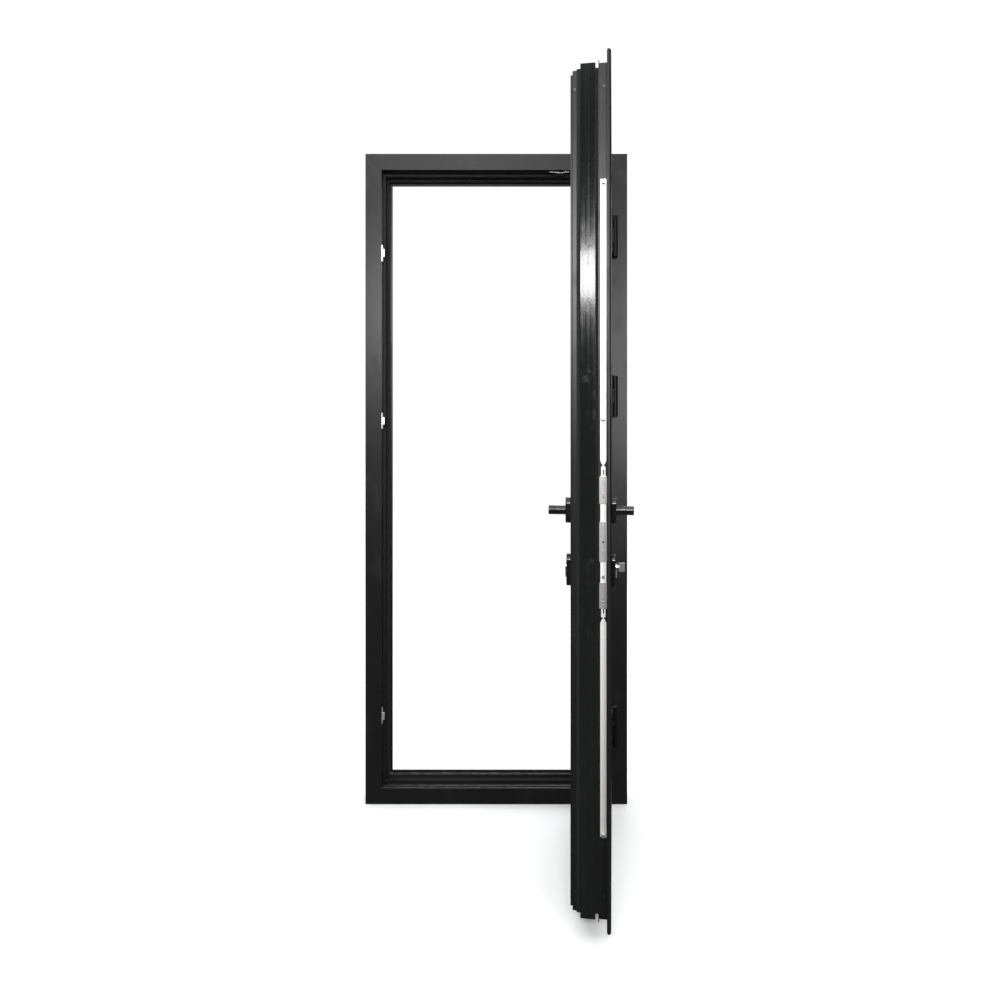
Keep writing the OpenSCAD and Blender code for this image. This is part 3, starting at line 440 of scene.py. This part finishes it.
def screw_tree():
    """Sets a head on every point, turned to an axis and spun at random about it."""
    tree = bpy.data.node_groups.new("set_screws", "GeometryNodeTree")
    for name, way, kind in (("Places", "INPUT", "Geometry"), ("Head", "INPUT", "Object"),
                            ("Axis", "INPUT", "Vector"), ("Finish", "INPUT", "Material"),
                            ("Screws", "OUTPUT", "Geometry")):
        tree.interface.new_socket(name, in_out=way, socket_type="NodeSocket" + kind)
    add, link = tree.nodes.new, tree.links.new
    given, made = add("NodeGroupInput"), add("NodeGroupOutput")
    head, points = add("GeometryNodeObjectInfo"), add("GeometryNodeInstanceOnPoints")
    turn, rotate = add("FunctionNodeAlignRotationToVector"), add("GeometryNodeRotateInstances")
    spin, about = add("FunctionNodeRandomValue"), add("ShaderNodeCombineXYZ")
    real, paint = add("GeometryNodeRealizeInstances"), add("GeometryNodeSetMaterial")
    turn.axis = "Z"
    spin.inputs["Max"].default_value = math.pi / 2
    spin.inputs["Seed"].default_value = 7
    link(given.outputs["Head"], head.inputs["Object"])
    link(given.outputs["Axis"], turn.inputs["Vector"])
    link(given.outputs["Places"], points.inputs["Points"])
    link(head.outputs["Geometry"], points.inputs["Instance"])
    link(turn.outputs["Rotation"], points.inputs["Rotation"])
    link(spin.outputs["Value"], about.inputs["Z"])
    link(points.outputs["Instances"], rotate.inputs["Instances"])
    link(about.outputs[0], rotate.inputs["Rotation"])
    link(rotate.outputs["Instances"], real.inputs["Geometry"])
    link(real.outputs["Geometry"], paint.inputs["Geometry"])
    link(given.outputs["Finish"], paint.inputs["Material"])
    link(paint.outputs["Geometry"], made.inputs["Screws"])
    return tree


SCREW_TREE = screw_tree()


def islands(node):
    """The corner points of each separate solid in a CAD node."""
    shape = merged_copy(node)
    shape.verts.index_update()
    seen, found = set(), []
    for first in shape.verts:
        group, edge = [], [first]
        while edge:
            vert = edge.pop()
            if vert.index not in seen:
                seen.add(vert.index)
                group.append(vert.co.copy())
                edge += [link.other_vert(vert) for link in vert.link_edges]
        if group:
            found.append(group)
    shape.free()
    return found


def set_screws(name, node, axis, head, material):
    """Heads on the outer end of each shank of a node, along axis."""
    axis = Vector(axis).normalized()
    places = []
    for group in islands(node):
        reach = max(point.dot(axis) for point in group)
        centre = sum(group, Vector()) / len(group)
        places.append(centre + axis * (reach - centre.dot(axis)))
    mesh = bpy.data.meshes.new(name)
    mesh.from_pydata(places, [], [])
    piece = add_piece(name, mesh, material)
    modifier = piece.modifiers.new("screws", "NODES")
    modifier.node_group = SCREW_TREE
    sockets = {item.name: item.identifier for item in SCREW_TREE.interface.items_tree}
    modifier[sockets["Head"]] = head
    modifier[sockets["Axis"]] = tuple(axis)
    modifier[sockets["Finish"]] = material
    bpy.context.scene.collection.objects.link(head)
    keep_result(piece)
    bpy.context.scene.collection.objects.unlink(head)
    return stand_for(piece, node)


screw_steel = bright_zinc("screw_steel", (0.62, 0.62, 0.61, 1), 0.28, shade=0.35)
set_screws("keep_screw_heads", "keep_screws", (1, 0, 0),
           screw_head("keep_head", radius=0.0037, rise=PROUD, sunk=0.0016), screw_steel)


# ---- Leaf shells ---------------------------------------------------------------
# The leaf is the same kind of profile: a room half whose flange laps the frame and a
# stepped outside half, four mitred lengths each.  It stands open on its hinges.

swing = next(joint for joint in frame["joints"] if joint["name"] == "leaf_swing")
open_angle = math.radians(-swing["range_deg"][0])
pivot = Matrix.Translation(Vector(swing["pos_m"]))
LEAF = pivot @ Matrix.Rotation(open_angle, 4, "Z") @ pivot.inverted()
SHUT = LEAF.inverted()


def shut_box(node):
    """The lowest and highest corner of a leaf node, with the leaf closed."""
    points = [SHUT @ v.co for v in NODES[node].data.vertices]
    return [Vector(end(p[k] for p in points) for k in range(3)) for end in (min, max)]


leaf_black = (0.0024, 0.0029, 0.0026, 1)
leaf_coat = powder_coat("leaf_black_coat", leaf_black, 0.26, ORANGE_PEEL)
across = LEAF.to_3x3() @ Vector((0, 1, 0))
room_end = across.dot(LEAF @ shut_box("leaf_lock_room_shell")[1])
outer_start = across.dot(LEAF @ shut_box("leaf_lock_outer_shell")[0])
flange_step = (room_end - 0.0068, room_end)
first_step = (outer_start, outer_start + 0.0090)
nose_groove = (outer_start + 0.0182, outer_start + 0.0202)
edge_coat = powder_coat("leaf_edge_coat", leaf_black, 0.26, ORANGE_PEEL, across=across,
                        recesses=(flange_step, first_step, nose_groove))
for side in ("lock", "hinge", "top", "bottom"):
    for half in ("room", "outer"):
        softened(f"leaf_{side}_{half}_shell", EXTRUSION_CORNER, edge_coat)


# ---- Leaf thermal break --------------------------------------------------------
# A broad polyamide bar closes the leaf's edge between the halves.  Its glossy face
# has drawing lines, finger marks and a milky bloom.

def glossy_plastic(name, colour):
    """A glossy extrusion: drawing lines, ripples, wiped blots and specks."""
    plastic = Finish(name, Specular_IOR_Level=0.15, Coat_Weight=0.08,
                     Coat_Roughness=0.05)
    lines = plastic.noise(330, (1, 1, 0.006), detail=4)
    fine = plastic.noise(1500, (1, 1, 0.05), detail=2)
    ripples = plastic.noise(95, (1, 1, 0.35), detail=3)
    blots = plastic.patches(plastic.noise(38, (1, 1, 0.7), detail=6, roughness=0.65), 0.50, 0.70)
    wiped = plastic.patches(plastic.noise(6, (1, 1, 0.8), detail=4), 0.42, 0.66)
    specks = plastic.patches(plastic.noise(240, detail=1), 0.70, 0.76)
    pale = tuple(c * 2.4 + 0.005 for c in colour[:3]) + (1,)
    plastic.set(Base_Color=plastic.mix(0.4 * blots * wiped + 0.35 * specks + 0.2 * lines,
                                       colour, pale),
                Roughness=0.06 + 0.28 * lines * lines + 0.25 * blots * wiped + 0.1 * specks)
    plastic.bump(lines + 0.1 * fine + 0.9 * ripples, 0.00025, 0.6)
    return plastic.material


break_gloss = glossy_plastic("edge_polyamide", (0.0040, 0.0050, 0.0044, 1))
softened("leaf_thermal_breaks", 0.0004, break_gloss)


# ---- Leaf seals ----------------------------------------------------------------
# A rubber seal is pushed into the flange's groove all round and presses on the
# frame's face when the door is shut.

low, high = shut_box("leaf_top_room_shell")
leaf_w = high.x - low.x
low, high = shut_box("leaf_lock_room_shell")
leaf_x, leaf_y, leaf_z = low
leaf_h = high.z - low.z


def leaf_ring(name, outline, material, *nodes):
    """A ring set out on the closed leaf and turned to where the leaf stands."""
    piece = ring(name, outline, leaf_w, leaf_h, leaf_z, leaf_y, material)
    piece.data.transform(LEAF)
    return stand_for(piece, *nodes)


low, high = shut_box("leaf_overlap_gasket")
seal_inset = low.x - leaf_x
seal_back, seal_depth = low.y - leaf_y, high.y - low.y
two_lips = [(0, 0), (0, 0.55), (0.0006, 0.98), (0.0014, 0.98), (0.0022, 0.68), (0.0030, 0.95),
            (0.0036, 0.90), (0.0040, 0.55), (0.0040, 0)]
leaf_ring("overlap_seal", [(seal_inset + inset, seal_back + share * seal_depth)
                           for inset, share in two_lips], rubber, "leaf_overlap_gasket")


# ---- Glazing -------------------------------------------------------------------
# Two panes of clear float glass on a black edge spacer stand on plastic blocks, held
# by beads clipped in from the room and by wedge gaskets on both sides.

def float_glass(name):
    """Clear glass with a green cast and a trace of film."""
    glass = Finish(name, Base_Color=(0.86, 0.95, 0.92, 1), Transmission_Weight=1.0, IOR=1.52)
    film = glass.patches(glass.noise(9, detail=5), 0.55, 0.8)
    glass.set(Roughness=0.03 * film)
    return glass.material


clear_glass = float_glass("float_glass")
for node in ("pane_room_side", "pane_outside"):
    softened(node, 0.0008, clear_glass)

spacer_black = drawn_plastic("edge_spacer", (0.014, 0.014, 0.014, 1), 0.38, 300)
softened("pane_spacer", 0.0005, spacer_black)
block_grey = drawn_plastic("glazing_block", (0.03, 0.03, 0.03, 1), 0.5, 200)
softened("setting_blocks", 0.0005, block_grey)
softened("glazing_beads", 0.0006, leaf_coat)

low, high = shut_box("glazing_gaskets")
wedge_w, wedge_nose = 0.0070, 0.0012
root = low.x - leaf_x
tip, shoulder = root + wedge_w, root + 0.8 * wedge_w
outer_end = high.y - leaf_y
bead_face = shut_box("glazing_beads")[1].y - leaf_y
room_glass = shut_box("pane_room_side")[0].y - leaf_y
outer_glass = shut_box("pane_outside")[1].y - leaf_y
room_wedge = [(root, bead_face), (root, room_glass), (tip, room_glass),
              (tip, room_glass - wedge_nose), (shoulder, bead_face)]
outer_wedge = [(root, outer_glass), (root, outer_end), (shoulder, outer_end),
               (tip, outer_glass + wedge_nose), (tip, outer_glass)]
leaf_ring("room_wedge_gasket", room_wedge, rubber, "glazing_gaskets")
leaf_ring("outside_wedge_gasket", outer_wedge, rubber, "glazing_gaskets")


# ---- Hinges --------------------------------------------------------------------
# Three barrel hinges: two outer knuckles stand on the frame, the middle one is on a
# wing screwed to the leaf, and all turn on a steel pin.

hinge_coat = powder_coat("hinge_black_coat", (0.0016, 0.0016, 0.0016, 1), 0.30, 2200,
                         shine=0.2)
for node in NODES:
    if node.startswith("hinge_") and node.endswith("_half"):
        softened(node, 0.0009, hinge_coat, smooth=60)
pin_steel = bright_zinc("pin_steel", (0.6, 0.6, 0.6, 1), 0.22)
softened("hinge_pins", 0.0006, pin_steel, smooth=60)
softened("hinge_nuts", 0.0003, screw_steel)
room_side = LEAF.to_3x3() @ Vector((0, -1, 0))
edge_side = LEAF.to_3x3() @ Vector((-1, 0, 0))
set_screws("hinge_screw_heads", "hinge_screws", room_side,
           screw_head("wing_head", radius=0.0047, rise=PROUD, sunk=0.0022), screw_steel)


# ---- Lock case and guides ------------------------------------------------------
# A pressed steel case in the stile holds the lever's gear.  Three zinc-plated guides
# screwed in the groove's floor keep the drive bar against it.

def press_pips(plate, node, pips):
    """Raises round pips on a guide's face: pips holds (height above its foot, radius)."""
    low, high = shut_box(node)
    shape = bmesh.new()
    shape.from_mesh(plate.data)
    for up, radius in pips:
        at = Matrix.Translation((low.x, (low.y + high.y) / 2, low.z + up))
        flat = Matrix.Diagonal((0.35 * radius, radius, radius, 1))
        bmesh.ops.create_uvsphere(shape, u_segments=20, v_segments=12, radius=1,
                                  matrix=LEAF @ at @ flat)
    for face in shape.faces:
        face.smooth = True
    shape.to_mesh(plate.data)
    shape.free()


guide_zinc = bright_zinc("guide_zinc", (0.46, 0.46, 0.44, 1), 0.34, (1, 1, 0.1), shade=0.45)
softened("lock_case", 0.0004, guide_zinc)
for node, pips in (("guide_plate_top", [(0.0465, 0.0021), (0.0037, 0.0012)]),
                   ("guide_plate_middle", [(0.0165, 0.0019)]),
                   ("guide_plate_bottom", [(0.0152, 0.0021), (0.0060, 0.0013)])):
    press_pips(softened(node, 0.0003, guide_zinc), node, pips)
set_screws("guide_screw_heads", "guide_screws", edge_side,
           screw_head("guide_head", radius=0.0036, rise=PROUD, sunk=0.0012), screw_steel)
dull_steel = bright_zinc("dull_screw", (0.12, 0.12, 0.12, 1), 0.16, shade=0.15)
set_screws("cleat_screw_heads", "leaf_cleat_screws", edge_side,
           screw_head("cleat_head", radius=0.0034, rise=PROUD, sunk=0.0010), dull_steel)


# ---- Drive bar, rods and pins --------------------------------------------------
# Zinc-plated steel strips slide in the groove.  Round pins riveted to them go behind
# the keeps.

rod_zinc = bright_zinc("rod_zinc", (0.93, 0.93, 0.91, 1), 0.50, (1, 1, 0.01), shade=0.62)
softened("drive_bar", 0.0003, rod_zinc)
softened("drive_rods", 0.0005, rod_zinc)
softened("locking_pins", 0.0008, pin_steel, smooth=60)


# ---- Levers and rosettes -------------------------------------------------------
# Black lever handles on both faces turn one square spindle.  Each turns in a
# rosette that is fixed to the leaf.

handle_coat = powder_coat("handle_black_coat", (0.002, 0.002, 0.002, 1), 0.11, 2600,
                          shine=0.38)
for part in ("rosette", "escutcheon", "lever"):
    for side in ("room", "outside"):
        softened(f"{part}_{side}", 0.0014, handle_coat, smooth=60)
softened("lever_spindle", 0.0002, pin_steel)


# ---- Cylinder ------------------------------------------------------------------
# A satin-chromed double cylinder with a thumb turn on the room side and a key plug
# outside.

chrome = bright_zinc("satin_chrome", (0.66, 0.66, 0.65, 1), 0.09, shade=0.6)
softened("lock_cylinder", 0.0004, chrome)
softened("key_plug", 0.0003, chrome)
softened("thumb_turn", 0.0008, chrome, smooth=60)


# ---- Studio --------------------------------------------------------------------
# A pale floor and soft light.  The window lamp, behind the viewer, shows in the
# glossy edge bar.

scene = bpy.context.scene
scene.view_settings.view_transform = "Standard"
scene.world = bpy.data.worlds.new("soft_room")
scene.world.use_nodes = True

# The eye meets an even white backdrop, also through the glass.  What the door reflects
# is a dim room with a bright ceiling.
room = Nodes(scene.world.node_tree)
direction = room.node("ShaderNodeTexCoord", out="Generated")
height = room.node("ShaderNodeSeparateXYZ", None, direction, out="Z")
overhead = room.patches(height, 0.35, 0.80)
backdrop = (room.node("ShaderNodeLightPath", out="Is Camera Ray")
            + room.node("ShaderNodeLightPath", out="Is Transmission Ray"))
room.feed(room.tree.nodes["Background"].inputs["Color"], (0.985, 0.992, 1.0, 1))
room.feed(room.tree.nodes["Background"].inputs["Strength"],
          backdrop * 1.04 + (1 - backdrop) * (0.17 + 1.52 * overhead))

reach = 60              # past the edge of every view
floor_mesh = bpy.data.meshes.new("floor")
floor_mesh.from_pydata([(-reach, -reach, 0), (reach, -reach, 0), (reach, reach, 0),
                        (-reach, reach, 0)], [], [(0, 1, 2, 3)])
floor_finish = Finish("pale_floor", Base_Color=(0.9, 0.9, 0.9, 1), Roughness=0.9,
                      Specular_IOR_Level=0.0)
floor = add_piece("floor", floor_mesh, floor_finish.material)
floor.visible_glossy = False


def area_light(name, at, towards, width, height, watts):
    """A soft box that lights the door and isn't seen itself, even through the glass."""
    data = bpy.data.lights.new(name, "AREA")
    data.shape = "RECTANGLE"
    data.size = width
    data.size_y = height
    data.energy = watts
    lamp = bpy.data.objects.new(name, data)
    lamp.location = at
    lamp.rotation_euler = (Vector(towards) - Vector(at)).to_track_quat("-Z", "Y").to_euler()
    lamp.visible_camera = False
    lamp.visible_transmission = False
    scene.collection.objects.link(lamp)


area_light("window", (-0.25, -4.0, 2.27), (0.1, 0, 1.5), width=0.9, height=0.3, watts=76)
area_light("side", (1.25, -4.0, 1.8), (0.35, 0, 1.3), width=0.5, height=1.6, watts=40)
area_light("ceiling", (-0.5, -2.6, 3.6), (0, 0, 1.8), width=2.4, height=1.0, watts=30)
area_light("rear", (1.6, 3.6, 2.4), (0, 0, 1.2), width=2.0, height=1.6, watts=35)

camera_data = bpy.data.cameras.new("camera")
camera_data.lens = 28.66
camera_data.shift_x = 0.013
camera_data.shift_y = -0.0505
camera = bpy.data.objects.new("camera", camera_data)
camera.location = (-0.03, -2.57, 1.1453)
camera.rotation_euler = (math.pi / 2, 0, 0)
scene.collection.objects.link(camera)
scene.camera = camera
